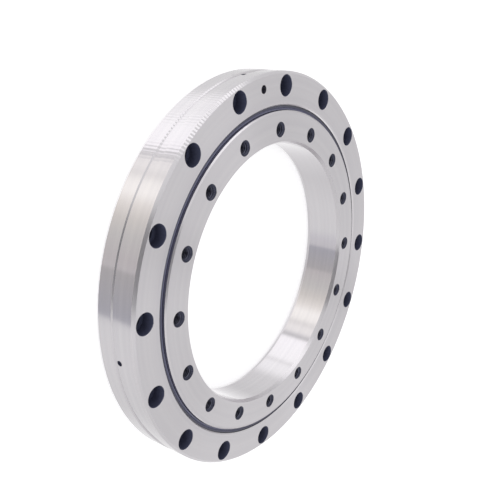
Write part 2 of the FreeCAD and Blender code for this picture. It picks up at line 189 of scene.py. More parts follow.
def near_axis(
    tree: bpy.types.NodeTree,
    first: bpy.types.NodeSocket,
    second: bpy.types.NodeSocket,
    limit: bpy.types.NodeSocket | float,
) -> bpy.types.NodeSocket:
    """Mark what lies near a hole's axis.

    Args:
        tree: the material's node tree.
        first: distance from the axis one way.
        second: distance from the axis at right angles to that.
        limit: radius of what counts as near.

    Returns:
        A socket that is 1 near the axis and 0 elsewhere.
    """
    offset = add_node(tree, "ShaderNodeCombineXYZ", inputs={0: first, 1: second})
    distance = add_node(tree, "ShaderNodeVectorMath", {"operation": "LENGTH"}, {0: offset.outputs[0]})
    near = add_node(
        tree, "ShaderNodeMath", {"operation": "LESS_THAN"}, {0: distance.outputs["Value"], 1: limit}
    )
    return near.outputs[0]


@dataclass(frozen=True)
class HoleCircle:
    """A circle of screw holes, whose walls keep the dark scale that hardening leaves, drawn darker as
    painted shade.
    """

    circle_mm: float
    count: int
    first_deg: float
    radius_mm: float
    head_radius_mm: float | None = None
    head_floor_mm: float = 0.0

    def mask(self, tree: bpy.types.NodeTree, turned: "RingCoordinates") -> bpy.types.NodeSocket:
        """Build the mask of the holes' insides.

        Args:
            tree: the material's node tree.
            turned: the ring coordinates in that tree.

        Returns:
            A socket that is 1 inside the holes and 0 elsewhere.
        """
        out, across = turned.from_nearest(self.count, self.first_deg)
        beyond_circle = add_node(
            tree, "ShaderNodeMath", {"operation": "SUBTRACT"}, {0: out, 1: self.circle_mm * MM}
        )
        limit: bpy.types.NodeSocket | float = self.radius_mm * MM
        if self.head_radius_mm is not None:
            above_floor = add_node(
                tree,
                "ShaderNodeMath",
                {"operation": "GREATER_THAN"},
                {0: turned.height, 1: self.head_floor_mm * MM},
            )
            wider = (self.head_radius_mm - self.radius_mm) * MM
            limit = add_node(
                tree,
                "ShaderNodeMath",
                {"operation": "MULTIPLY_ADD"},
                {0: above_floor.outputs[0], 1: wider, 2: self.radius_mm * MM},
            ).outputs[0]
        return near_axis(tree, beyond_circle.outputs[0], across, limit)


@dataclass(frozen=True)
class OilHoles:
    """Radial oil holes through the ring and its plug, drilled before hardening, with scale in them that is
    drawn dark as painted shade.
    """

    count: int = 4
    height_mm: float = 12.3
    radius_mm: float = 1.55
    mouth_mm: float = 111.8

    def mask(self, tree: bpy.types.NodeTree, turned: "RingCoordinates") -> bpy.types.NodeSocket:
        """Build the mask of the holes' insides.

        Args:
            tree: the material's node tree.
            turned: the ring coordinates in that tree.

        Returns:
            A socket that is 1 inside the holes and 0 elsewhere.
        """
        out, across = turned.from_nearest(self.count)
        rise = add_node(
            tree, "ShaderNodeMath", {"operation": "SUBTRACT"}, {0: turned.height, 1: self.height_mm * MM}
        )
        near = near_axis(tree, across, rise.outputs[0], self.radius_mm * MM)
        within = add_node(
            tree, "ShaderNodeMath", {"operation": "LESS_THAN"}, {0: out, 1: self.mouth_mm * MM}
        )
        inside = add_node(
            tree, "ShaderNodeMath", {"operation": "MULTIPLY"}, {0: near, 1: within.outputs[0]}
        )
        return inside.outputs[0]


class RingCoordinates:
    """Radius, height and turn about the bearing's axis, as sockets of one node tree."""

    MIDDLE_RADIUS_MM = 100.0
    MARK_OCTAVES = 2.0

    def __init__(self, tree: bpy.types.NodeTree) -> None:
        """Add the nodes that turn Object coordinates into ring coordinates.

        Args:
            tree: the material's node tree.
        """
        self.tree = tree
        self.place = add_node(tree, "ShaderNodeTexCoord").outputs["Object"]
        flat = add_node(
            tree, "ShaderNodeVectorMath", {"operation": "MULTIPLY"}, {0: self.place, 1: (1.0, 1.0, 0.0)}
        )
        axes = add_node(tree, "ShaderNodeSeparateXYZ", inputs={0: self.place})
        self.radius = add_node(
            tree, "ShaderNodeVectorMath", {"operation": "LENGTH"}, {0: flat.outputs[0]}
        ).outputs["Value"]
        outwards = add_node(
            tree, "ShaderNodeVectorMath", {"operation": "NORMALIZE"}, {0: flat.outputs[0]}
        )
        self.outwards = add_node(tree, "ShaderNodeSeparateXYZ", inputs={0: outwards.outputs[0]})
        self.height = axes.outputs["Z"]
        self.angle = add_node(
            tree, "ShaderNodeMath", {"operation": "ARCTAN2"}, {0: axes.outputs["Y"], 1: axes.outputs["X"]}
        ).outputs[0]

    def from_nearest(
        self, count: int, first_deg: float = 0.0
    ) -> tuple[bpy.types.NodeSocket, bpy.types.NodeSocket]:
        """Measure from the nearest of some holes that are set evenly round the ring.

        Args:
            count: number of the holes.
            first_deg: azimuth of the first one.

        Returns:
            Distance from the bearing's axis along the hole's own radius, and distance across it.
        """
        half_pitch = math.pi / count
        angle = add_node(
            self.tree,
            "ShaderNodeMath",
            {"operation": "SUBTRACT"},
            {0: self.angle, 1: math.radians(first_deg)},
        )
        local = add_node(
            self.tree,
            "ShaderNodeMath",
            {"operation": "WRAP"},
            {0: angle.outputs[0], 1: half_pitch, 2: -half_pitch},
        )
        shares = [
            add_node(self.tree, "ShaderNodeMath", {"operation": share}, {0: local.outputs[0]}).outputs[0]
            for share in ("COSINE", "SINE")
        ]
        out, across = [
            add_node(
                self.tree, "ShaderNodeMath", {"operation": "MULTIPLY"}, {0: self.radius, 1: share}
            ).outputs[0]
            for share in shares
        ]
        return out, across

    def along(self) -> bpy.types.NodeSocket:
        """Find the direction round the ring.

        Returns:
            The direction in world space, as the shader's tangent takes it.
        """
        turned_x = add_node(
            self.tree,
            "ShaderNodeMath",
            {"operation": "MULTIPLY"},
            {0: self.outwards.outputs["Y"], 1: -1.0},
        )
        round_ring = add_node(
            self.tree, "ShaderNodeCombineXYZ", inputs={0: turned_x.outputs[0], 1: self.outwards.outputs["X"]}
        )
        in_world = add_node(
            self.tree,
            "ShaderNodeVectorTransform",
            {"vector_type": "VECTOR", "convert_from": "OBJECT", "convert_to": "WORLD"},
            {0: round_ring.outputs[0]},
        )
        return in_world.outputs[0]

    def by_slope(self, face: float, chamfer: float, wall: float) -> bpy.types.NodeSocket:
        """Choose a value by how steep the surface stands.

        Args:
            face: value on the flat faces.
            chamfer: value on the chamfers between them.
            wall: value on walls that stand upright.

        Returns:
            The value as a socket.
        """
        geometry = add_node(self.tree, "ShaderNodeNewGeometry")
        axes = add_node(self.tree, "ShaderNodeSeparateXYZ", inputs={0: geometry.outputs["True Normal"]})
        level = add_node(self.tree, "ShaderNodeMath", {"operation": "ABSOLUTE"}, {0: axes.outputs["Z"]})
        value: bpy.types.NodeSocket | float = wall
        for least, step in ((WALL_LIMIT, chamfer - wall), (FACE_LIMIT, face - chamfer)):
            beyond = add_node(
                self.tree, "ShaderNodeMath", {"operation": "GREATER_THAN"}, {0: level.outputs[0], 1: least}
            )
            value = add_node(
                self.tree,
                "ShaderNodeMath",
                {"operation": "MULTIPLY_ADD"},
                {0: beyond.outputs[0], 1: step, 2: value},
            ).outputs[0]
        return value

    def marks(self, spacing_mm: float, runs_mm: float) -> bpy.types.NodeSocket:
        """Build noise that is drawn out round the ring, as a tool leaves it.

        Args:
            spacing_mm: distance from one mark to the next across the ring.
            runs_mm: length over which a mark fades and another takes its place.

        Returns:
            The noise's value, about 0.5 on average.
        """
        across = 1 / (spacing_mm * MM)
        round_the_ring = self.MIDDLE_RADIUS_MM / runs_mm
        scaled = [
            add_node(
                self.tree, "ShaderNodeMath", {"operation": "MULTIPLY"}, {0: source, 1: scale}
            ).outputs[0]
            for source, scale in (
                (self.radius, across),
                (self.height, across),
                (self.outwards.outputs["X"], round_the_ring),
                (self.outwards.outputs["Y"], round_the_ring),
            )
        ]
        place = add_node(
            self.tree, "ShaderNodeCombineXYZ", inputs={0: scaled[0], 1: scaled[1], 2: scaled[2]}
        )
        noise = add_node(
            self.tree,
            "ShaderNodeTexNoise",
            {"noise_dimensions": "4D"},
            {"Vector": place.outputs[0], "W": scaled[3], "Scale": 1.0, "Detail": self.MARK_OCTAVES},
        )
        return noise.outputs[0]


def spread(
    tree: bpy.types.NodeTree, source: bpy.types.NodeSocket, low: float, high: float
) -> bpy.types.NodeSocket:
    """Map noise from its usual reach to a range of values.

    Args:
        tree: the material's node tree.
        source: the noise.
        low: value for the noise's dark end.
        high: value for its bright end.

    Returns:
        The mapped value, clamped to the range.
    """
    mapped = add_node(
        tree,
        "ShaderNodeMapRange",
        {"clamp": True},
        {"Value": source, "From Min": NOISE_LOW, "From Max": NOISE_HIGH, "To Min": low, "To Max": high},
    )
    return mapped.outputs[0]


def mottle(
    tree: bpy.types.NodeTree, grain_mm: float, octaves: float, dark: str, pale: str
) -> tuple[bpy.types.NodeSocket, bpy.types.NodeSocket]:
    """Build a fine grain, and a colour that varies with it.

    Args:
        tree: the material's node tree.
        grain_mm: size of the grain.
        octaves: octaves of its noise.
        dark: colour at the noise's dark end.
        pale: colour at its bright end.

    Returns:
        The grain's noise and the colour.
    """
    place = add_node(tree, "ShaderNodeTexCoord").outputs["Object"]
    grain = add_node(
        tree, "ShaderNodeTexNoise", inputs={"Vector": place, "Scale": 1 / (grain_mm * MM), "Detail": octaves}
    ).outputs[0]
    colour = add_node(
        tree,
        "ShaderNodeMix",
        {"data_type": "RGBA"},
        {"Factor": spread(tree, grain, 0.0, 1.0), "A": linear(dark), "B": linear(pale)},
    ).outputs["Result"]
    return grain, colour


@dataclass(frozen=True)
class Ripple:
    """Waves that a trembling tool left on one stretch of a ring's walls and chamfers.

    They bend the shading alone, and are higher than real ones, or they would not show.
    """

    count: int = 360
    height_mm: float = 0.07
    middle_deg: float = 24.0
    reach_deg: float = 21.0
    on_face: float = 0.0
    on_chamfer: float = 1.0
    on_wall: float = 0.26

    def bend(
        self, tree: bpy.types.NodeTree, turned: RingCoordinates, normal: bpy.types.NodeSocket
    ) -> bpy.types.NodeSocket:
        """Bend a normal further by the waves.

        Args:
            tree: the material's node tree.
            turned: the ring coordinates in that tree.
            normal: the normal that the tool's marks have bent already.

        Returns:
            The normal with the waves in it.
        """
        phase = add_node(
            tree, "ShaderNodeMath", {"operation": "MULTIPLY"}, {0: turned.angle, 1: self.count}
        )
        wave = add_node(tree, "ShaderNodeMath", {"operation": "SINE"}, {0: phase.outputs[0]})
        away = add_node(
            tree,
            "ShaderNodeMath",
            {"operation": "SUBTRACT"},
            {0: turned.angle, 1: math.radians(self.middle_deg)},
        )
        distance = add_node(tree, "ShaderNodeMath", {"operation": "ABSOLUTE"}, {0: away.outputs[0]})
        here = add_node(
            tree,
            "ShaderNodeMapRange",
            {"interpolation_type": "SMOOTHSTEP"},
            {
                "Value": distance.outputs[0],
                "From Max": math.radians(self.reach_deg),
                "To Min": 1.0,
                "To Max": 0.0,
            },
        )
        height = add_node(
            tree, "ShaderNodeMath", {"operation": "MULTIPLY"}, {0: wave.outputs[0], 1: here.outputs[0]}
        )
        bump = add_node(
            tree,
            "ShaderNodeBump",
            inputs={
                "Strength": turned.by_slope(self.on_face, self.on_chamfer, self.on_wall),
                "Distance": self.height_mm * MM,
                "Height": height.outputs[0],
                "Normal": normal,
            },
        )
        return bump.outputs[0]


@dataclass(frozen=True)
class BearingSteel:
    """Through-hardened chrome bearing steel, cut to size after hardening.

    Its surface is a bright satin: close marks run round the ring, so highlights spread across them,
    and neighbouring bands of the cut differ a little in how much they shine. Real marks are some
    hundredths of a millimetre apart. These are coarser, or they would not show.
    """

    name: str
    bright: str = "#D8D5D8"
    dull: str = "#D2CFD3"
    roughness_change: float = 0.03
    mark_mm: float = 0.6
    mark_run_mm: float = 110.0
    mark_height_mm: float = 0.002
    band_mm: float = 2.6
    band_run_mm: float = 440.0
    holes: tuple[HoleCircle | OilHoles, ...] = ()
    # the holes' colour: real scale, darkened further as painted shade
    scale_and_shade_colour: str = "#44475C"
    scale_roughness: float = 0.5
    scale_change: float = 0.08
    scale_gloss: float = 0.3
    scale_patch_mm: float = 1.5
    scale_octaves: float = 3.0
    ripple: Ripple | None = None

    def material(self) -> bpy.types.Material:
        """Build the material.

        Returns:
            The material, with dark scale and painted shade inside the holes if it has any.
        """
        material, tree = new_material(self.name)
        turned = RingCoordinates(tree)
        fine = turned.marks(self.mark_mm, self.mark_run_mm)
        band = turned.marks(self.band_mm, self.band_run_mm)
        tone = add_node(
            tree,
            "ShaderNodeMix",
            {"data_type": "RGBA"},
            {
                "Factor": spread(tree, band, 0.0, 1.0),
                "A": linear(self.dull),
                "B": linear(self.bright),
            },
        ).outputs["Result"]
        cuts = (Cut.TURNED_FACE, Cut.CHAMFER, Cut.GROUND_WALL)
        depth = turned.by_slope(*[cut.marks for cut in cuts])
        roughness = add_node(
            tree,
            "ShaderNodeMath",
            {"operation": "MULTIPLY_ADD"},
            {
                0: spread(tree, fine, -self.roughness_change, self.roughness_change),
                1: depth,
                2: turned.by_slope(*[cut.roughness for cut in cuts]),
            },
        )
        stretch = turned.by_slope(*[cut.stretch for cut in cuts])
        normal = self.cut_marks(tree, fine, depth)
        if self.ripple is not None:
            normal = self.ripple.bend(tree, turned, normal)
        metal = add_node(
            tree,
            "ShaderNodeBsdfPrincipled",
            inputs={
                "Base Color": tone,
                "Metallic": 1.0,
                "Roughness": roughness.outputs[0],
                "Anisotropic": stretch,
                "Anisotropic Rotation": QUARTER_TURN,
                "Tangent": turned.along(),
                "Normal": normal,
            },
        )
        shader = metal.outputs[0]
        for holes in self.holes:
            shader = add_node(
                tree,
                "ShaderNodeMixShader",
                inputs={0: holes.mask(tree, turned), 1: shader, 2: self.hole_scale_and_shade(tree, turned)},
            ).outputs[0]
        give_surface(tree, shader)
        return material

    def cut_marks(
        self, tree: bpy.types.NodeTree, fine: bpy.types.NodeSocket, depth: bpy.types.NodeSocket
    ) -> bpy.types.NodeSocket:
        """Bend the normal by the tool's marks.

        Args:
            tree: the material's node tree.
            fine: the marks' noise.
            depth: how deep the cut leaves them, as a share.

        Returns:
            The bent normal.
        """
        bump = add_node(
            tree,
            "ShaderNodeBump",
            inputs={"Strength": depth, "Distance": self.mark_height_mm * MM, "Height": fine},
        )
        return bump.outputs[0]

    def hole_scale_and_shade(self, tree: bpy.types.NodeTree, turned: RingCoordinates) -> bpy.types.NodeSocket:
        """Build the blue-black scale that hardening leaves where nothing is ground, darkened as painted
        shade inside the holes.

        Args:
            tree: the material's node tree.
            turned: the ring coordinates in that tree.

        Returns:
            The scale's shader: dark and dull, a little patchy in its shine.
        """
        patches = add_node(
            tree,
            "ShaderNodeTexNoise",
            inputs={
                "Vector": turned.place,
                "Scale": 1 / (self.scale_patch_mm * MM),
                "Detail": self.scale_octaves,
            },
        )
        scale = add_node(
            tree,
            "ShaderNodeBsdfPrincipled",
            inputs={
                "Base Color": linear(self.scale_and_shade_colour),
                "Metallic": 0.0,
                "Roughness": spread(
                    tree,
                    patches.outputs[0],
                    self.scale_roughness - self.scale_change,
                    self.scale_roughness + self.scale_change,
                ),
                "Specular IOR Level": self.scale_gloss,
            },
        )
        return scale.outputs[0]


@dataclass(frozen=True)
class PlainSteel:
    """Steel of the small parts, ground all over or left as it was drawn, with a soft even shine.

    Its grain is drawn coarser than a real one, or it would not show.
    """

    name: str
    bright: str
    dull: str
    roughness: float
    grain_mm: float
    grain_octaves: float = 4.0
    roughness_change: float = 0.05

    def material(self) -> bpy.types.Material:
        """Build the material.

        Returns:
            The material.
        """
        material, tree = new_material(self.name)
        grain, tone = mottle(tree, self.grain_mm, self.grain_octaves, self.dull, self.bright)
        low = self.roughness - self.roughness_change
        high = self.roughness + self.roughness_change
        metal = add_node(
            tree,
            "ShaderNodeBsdfPrincipled",
            inputs={"Base Color": tone, "Metallic": 1.0, "Roughness": spread(tree, grain, low, high)},
        )
        give_surface(tree, metal.outputs[0])
        return material


@dataclass(frozen=True)
class SealRubber:
    """Moulded nitrile rubber with carbon black: nearly black, with a soft skin that shines a little.

    Its colour is painted paler towards the lip, a painted highlight where the raised lip catches light, and
    darker beside its groove as painted shade. Its grain is drawn coarser than the mould leaves it, or it
    would not show.
    """

    name: str = "seal_rubber_finish"
    colour: str = "#262736"
    # painted light: the paler colour of the raised lip where light catches it
    painted_lip_light_colour: str = "#5E5F78"
    lip_radius_mm: float = 92.8
    groove_radius_mm: float = 94.7
    flow_change: float = 0.15
    flow_mm: float = 0.7
    flow_run_mm: float = 30.0
    roughness: float = 0.42
    roughness_change: float = 0.06
    ior: float = 1.52
    grain_mm: float = 0.5
    grain_octaves: float = 3.0
    grain_height_mm: float = 0.01
    grain_strength: float = 0.6

    def material(self) -> bpy.types.Material:
        """Build the material.

        Returns:
            The material.
        """
        material, tree = new_material(self.name)
        turned = RingCoordinates(tree)
        flow = turned.marks(self.flow_mm, self.flow_run_mm)
        # painted light and shade by radius: paler towards the lip, darker beside the groove
        painted_lip_light = add_node(
            tree,
            "ShaderNodeMapRange",
            inputs={
                "Value": turned.radius,
                "From Min": self.groove_radius_mm * MM,
                "From Max": self.lip_radius_mm * MM,
            },
        )
        lip_light_and_flow = add_node(
            tree,
            "ShaderNodeMath",
            {"operation": "ADD", "use_clamp": True},
            {0: painted_lip_light.outputs[0], 1: spread(tree, flow, -self.flow_change, self.flow_change)},
        )
        grain = add_node(
            tree,
            "ShaderNodeTexNoise",
            inputs={
                "Vector": turned.place,
                "Scale": 1 / (self.grain_mm * MM),
                "Detail": self.grain_octaves,
            },
        ).outputs[0]
        tone = add_node(
            tree,
            "ShaderNodeMix",
            {"data_type": "RGBA"},
            {
                "Factor": lip_light_and_flow.outputs[0],
                "A": linear(self.colour),
                "B": linear(self.painted_lip_light_colour),
            },
        )
        bump = add_node(
            tree,
            "ShaderNodeBump",
            inputs={
                "Strength": self.grain_strength,
                "Distance": self.grain_height_mm * MM,
                "Height": grain,
            },
        )
        low = self.roughness - self.roughness_change
        high = self.roughness + self.roughness_change
        rubber = add_node(
            tree,
            "ShaderNodeBsdfPrincipled",
            inputs={
                "Base Color": tone.outputs["Result"],
                "Metallic": 0.0,
                "Roughness": spread(tree, grain, low, high),
                "IOR": self.ior,
                "Normal": bump.outputs[0],
            },
        )
        give_surface(tree, rubber.outputs[0])
        return material


@dataclass(frozen=True)
class SpacerNylon:
    """Moulded natural nylon: ivory, slightly see-through, with the dull skin of a textured mould.

    Its grain is drawn coarser than the mould leaves it, or it would not show.
    """

    name: str = "spacer_nylon_finish"
    colour: str = "#DDD6BF"
    shade: str = "#CFC7AC"
    roughness: float = 0.5
    roughness_change: float = 0.05
    ior: float = 1.53
    glow_share: float = 0.15
    glow_depth_mm: float = 0.5
    grain_mm: float = 0.6
    grain_octaves: float = 3.0

    def material(self) -> bpy.types.Material:
        """Build the material.

        Returns:
            The material.
        """
        material, tree = new_material(self.name)
        grain, tone = mottle(tree, self.grain_mm, self.grain_octaves, self.shade, self.colour)
        low = self.roughness - self.roughness_change
        high = self.roughness + self.roughness_change
        nylon = add_node(
            tree,
            "ShaderNodeBsdfPrincipled",
            inputs={
                "Base Color": tone,
                "Roughness": spread(tree, grain, low, high),
                "IOR": self.ior,
                "Subsurface Weight": self.glow_share,
                "Subsurface Scale": self.glow_depth_mm * MM,
            },
        )
        give_surface(tree, nylon.outputs[0])
        return material


def record_mount(name: str) -> dict:
    """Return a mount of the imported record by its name."""
    return next(mount for mount in frame["record"]["mounts"] if mount["name"] == name)


@dataclass
class OuterRing:
    """The outer ring with its filling plug and the pin that locks the plug."""

    head_hole_mm: float = 11.0
    head_depth_mm: float = 6.8
    mask_margin_mm: float = 0.05
    # this margin carries the holes' painted shade over the heads' mouth chamfers
    head_shade_margin_mm: float = 0.2

    def holes(self) -> HoleCircle:
        """Work out where the counterbored screw holes are.

        Returns:
            The circle of holes, with a margin that takes in their facets, and a wider margin at the heads
            that carries the painted shade onto the mouths' chamfers.
        """
        dims = record_mount("outer_screws")["dims"]
        top_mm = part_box("outer_ring")[1].z / MM
        return HoleCircle(
            circle_mm=dims["pcd_mm"] / 2,
            count=dims["count"],
            first_deg=180 / dims["count"],
            radius_mm=dims["hole_r_mm"] + self.mask_margin_mm,
            head_radius_mm=self.head_hole_mm / 2 + self.head_shade_margin_mm,
            head_floor_mm=top_mm - self.head_depth_mm - self.mask_margin_mm,
        )

    def finish(self) -> None:
        """Dress the ring, the plug and the pin."""
        oil = OilHoles()
        ring = BearingSteel(name="outer_ring_finish", holes=(self.holes(), oil), ripple=Ripple())
        plug = BearingSteel(name="plug_finish", holes=(oil,))
        pin = PlainSteel("pin_finish", bright="#45454F", dull="#33333C", roughness=0.38, grain_mm=0.8)
        dress(frame["nodes"]["outer_ring"], ring.material())
        dress(frame["nodes"]["filling_plug"], plug.material())
        dress(frame["nodes"]["plug_pin"], pin.material())
        LOG.info("outer ring, plug and pin dressed")


@dataclass
class InnerRing:
    """The inner ring and the threads cut in its screw holes."""

    turn_deg: float = 13.9
    thread_pitch_mm: float = 1.0
    crest_radius_mm: float = 2.46
    crest_width_mm: float = 0.25
    root_width_mm: float = 0.875
    root_depth_mm: float = 0.05
    mouth_radius_mm: float = 4.2
    mouth_margin_mm: float = 0.03
    bright_edge_mm: float = 0.1
    steps_per_turn: int = 20

    def __post_init__(self) -> None:
        """Take the screw circle and the ring's faces from the frame."""
        dims = record_mount("inner_screws")["dims"]
        self.circle_mm: float = dims["pcd_mm"] / 2
        self.count: int = dims["count"]
        self.hole_radius_mm: float = dims["hole_r_mm"]
        low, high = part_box("inner_ring")
        self.bottom_mm: float = low.z / MM
        self.top_mm: float = high.z / MM

    def holes(self) -> HoleCircle:
        """Describe the tapped holes for the finish.

        Returns:
            The circle of holes, with painted shade over their countersinks, short of their bright outer
            edge.
        """
        return HoleCircle(
            circle_mm=self.circle_mm,
            count=self.count,
            first_deg=self.turn_deg,
            radius_mm=self.mouth_radius_mm - self.bright_edge_mm,
        )

    def one_thread(self) -> bmesh.types.BMesh:
        """Cut one thread on the axis of +Z: a closed ridge that winds down the hole.

        Returns:
            A bmesh with the ridge from the front face to the back face, cut back to the
            countersink at both ends.
        """
        work = bmesh.new()
        outside = self.hole_radius_mm + self.root_depth_mm
        half_crest = self.crest_width_mm / 2
        half_root = self.root_width_mm / 2
        section = [
            (outside, half_root),
            (self.hole_radius_mm, half_root),
            (self.crest_radius_mm, half_crest),
            (self.crest_radius_mm, -half_crest),
            (self.hole_radius_mm, -half_root),
            (outside, -half_root),
        ]
        start = self.top_mm - half_root
        corners = [work.verts.new(Vector((x, 0.0, start + z)) * MM) for x, z in section]
        profile = work.faces.new(corners)
        turns = (self.top_mm - self.bottom_mm - self.root_width_mm) / self.thread_pitch_mm
        steps = round(turns * self.steps_per_turn)
        step_down = Vector((0.0, 0.0, -self.thread_pitch_mm / self.steps_per_turn)) * MM
        bmesh.ops.spin(
            work,
            geom=[profile, *profile.verts, *profile.edges],
            cent=Vector(),
            axis=Vector((0.0, 0.0, 1.0)),
            dvec=step_down,
            angle=math.tau * steps / self.steps_per_turn,
            steps=steps,
            use_duplicate=False,
        )
        self.cut_mouths(work)
        bmesh.ops.recalc_face_normals(work, faces=work.faces)
        return work

    def cut_mouths(self, work: bmesh.types.BMesh) -> None:
        """Push the ridge back behind the countersink at each end of the hole.

        Args:
            work: the bmesh with the ridge.
        """
        for corner in work.verts:
            height_mm = corner.co.z / MM
            depth_mm = min(self.top_mm - height_mm, height_mm - self.bottom_mm)
            least = (self.mouth_radius_mm + self.mouth_margin_mm - depth_mm) * MM
            radius = corner.co.xy.length
            if radius < least:
                corner.co.xy *= least / radius

    def threads(self) -> bpy.types.Object:
        """Wind a thread into every tapped hole of the ring.

        Returns:
            One object with all the threads.
        """
        single = self.one_thread()
        pattern = bpy.data.meshes.new("thread_pattern")
        single.to_mesh(pattern)
        single.free()
        work = bmesh.new()
        for number in range(self.count):
            before = len(work.verts)
            work.from_mesh(pattern)
            work.verts.ensure_lookup_table()
            turn_deg = self.turn_deg + 360.0 * number / self.count
            place = Matrix.Rotation(math.radians(turn_deg), 4, "Z") @ Matrix.Translation(
                (self.circle_mm * MM, 0.0, 0.0)
            )
            bmesh.ops.transform(work, matrix=place, verts=work.verts[before:])
        bpy.data.meshes.remove(pattern)
        return mesh_object("tapped_hole_threads", work)

    def finish(self) -> None:
        """Dress the ring and add its threads."""
        # the inner holes are painted darker still, painted shade over their countersinks
        ring = BearingSteel(name="inner_ring_finish", holes=(self.holes(),), scale_and_shade_colour="#303244")
        dress(frame["nodes"]["inner_ring"], ring.material())
        threads = self.threads()
        # the threads' dark steel is painted shade inside the tapped holes
        cut = PlainSteel("thread_finish", bright="#626372", dull="#484957", roughness=0.4, grain_mm=0.5)
        dress(threads, cut.material())
        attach(threads, "inner_ring")
        LOG.info("inner ring dressed, %d threads cut", self.count)


@dataclass
class RunningParts:
    """Seals, rollers and spacers between the two rings."""

    rubber: SealRubber = field(default_factory=SealRubber)
    nylon: SpacerNylon = field(default_factory=SpacerNylon)
    roller_steel: PlainSteel = field(
        default_factory=lambda: PlainSteel(
            "roller_finish", bright="#DCDCDF", dull="#CDCDD1", roughness=0.16, grain_mm=0.6
        )
    )

    def finish(self) -> None:
        """Dress the seals, the spacers and every roller."""
        rubber = self.rubber.material()
        for name in ("front_seal", "back_seal"):
            dress(frame["nodes"][name], rubber)
        dress(frame["nodes"]["roller_spacers"], self.nylon.material())
        roller_steel = self.roller_steel.material()
        rollers = [node for name, node in frame["nodes"].items() if name.startswith("roller_")]
        rollers.remove(frame["nodes"]["roller_spacers"])
        for roller in rollers:
            dress(roller, roller_steel)
        LOG.info("seals, spacers and %d rollers dressed", len(rollers))


@dataclass(frozen=True)
class Tone:
    """A stop of the light that the upright walls mirror: its azimuth, strength and tint."""

    azimuth_deg: float
    strength: float
    tint: str = "#FFFFFF"

    def colour(self, full: float) -> tuple[float, float, float, float]:
        """Work out the stop's colour on a ramp.

        Args:
            full: the strength that the ramp's white stands for.

        Returns:
            The linear colour, with an alpha of 1.
        """
        red, green, blue, _ = linear(self.tint)
        share = self.strength / full
        return (red * share, green * share, blue * share, 1.0)


@dataclass(frozen=True)
class Card:
    """An upright card that only reflections show. Its light shades off from one side to the other."""

    name: str
    azimuth_deg: float
    distance_m: float
    width_m: float
    low_m: float
    high_m: float
    strength: float
    tints: tuple[str, str]

    def hang(self) -> None:
        """Hang the card so that it faces the bearing's axis."""
        azimuth = math.radians(self.azimuth_deg)
        out = Vector((math.cos(azimuth), math.sin(azimuth), 0.0)) * self.distance_m
        aside = Vector((-math.sin(azimuth), math.cos(azimuth), 0.0)) * self.width_m / 2
        low = Vector((0.0, 0.0, self.low_m))
        high = Vector((0.0, 0.0, self.high_m))
        work = bmesh.new()
        light = work.verts.layers.float_color.new("light")
        first, last = self.tints
        corners = (
            (out - aside + low, first),
            (out + aside + low, last),
            (out + aside + high, last),
            (out - aside + high, first),
        )
        verts = [work.verts.new(place) for place, _ in corners]
        for vert, (_, tint) in zip(verts, corners):
            vert[light] = linear(tint)
        work.faces.new(verts)
        card = mesh_object(self.name, work, smooth=False)
        material, tree = new_material(f"{self.name}_light")
        colour = add_node(tree, "ShaderNodeAttribute", {"attribute_name": "light"}).outputs["Color"]
        glow = add_node(tree, "ShaderNodeEmission", inputs={"Color": colour, "Strength": self.strength})
        give_surface(tree, glow.outputs[0])
        dress(card, material)
        hide_from_view(card)


def hide_from_view(piece: bpy.types.Object) -> None:
    """Leave a piece of the studio to reflections alone: the camera, the floor and shadows miss it.

    Args:
        piece: the piece to hide.
    """
    piece.visible_camera = False
    piece.visible_diffuse = False
    piece.visible_shadow = False


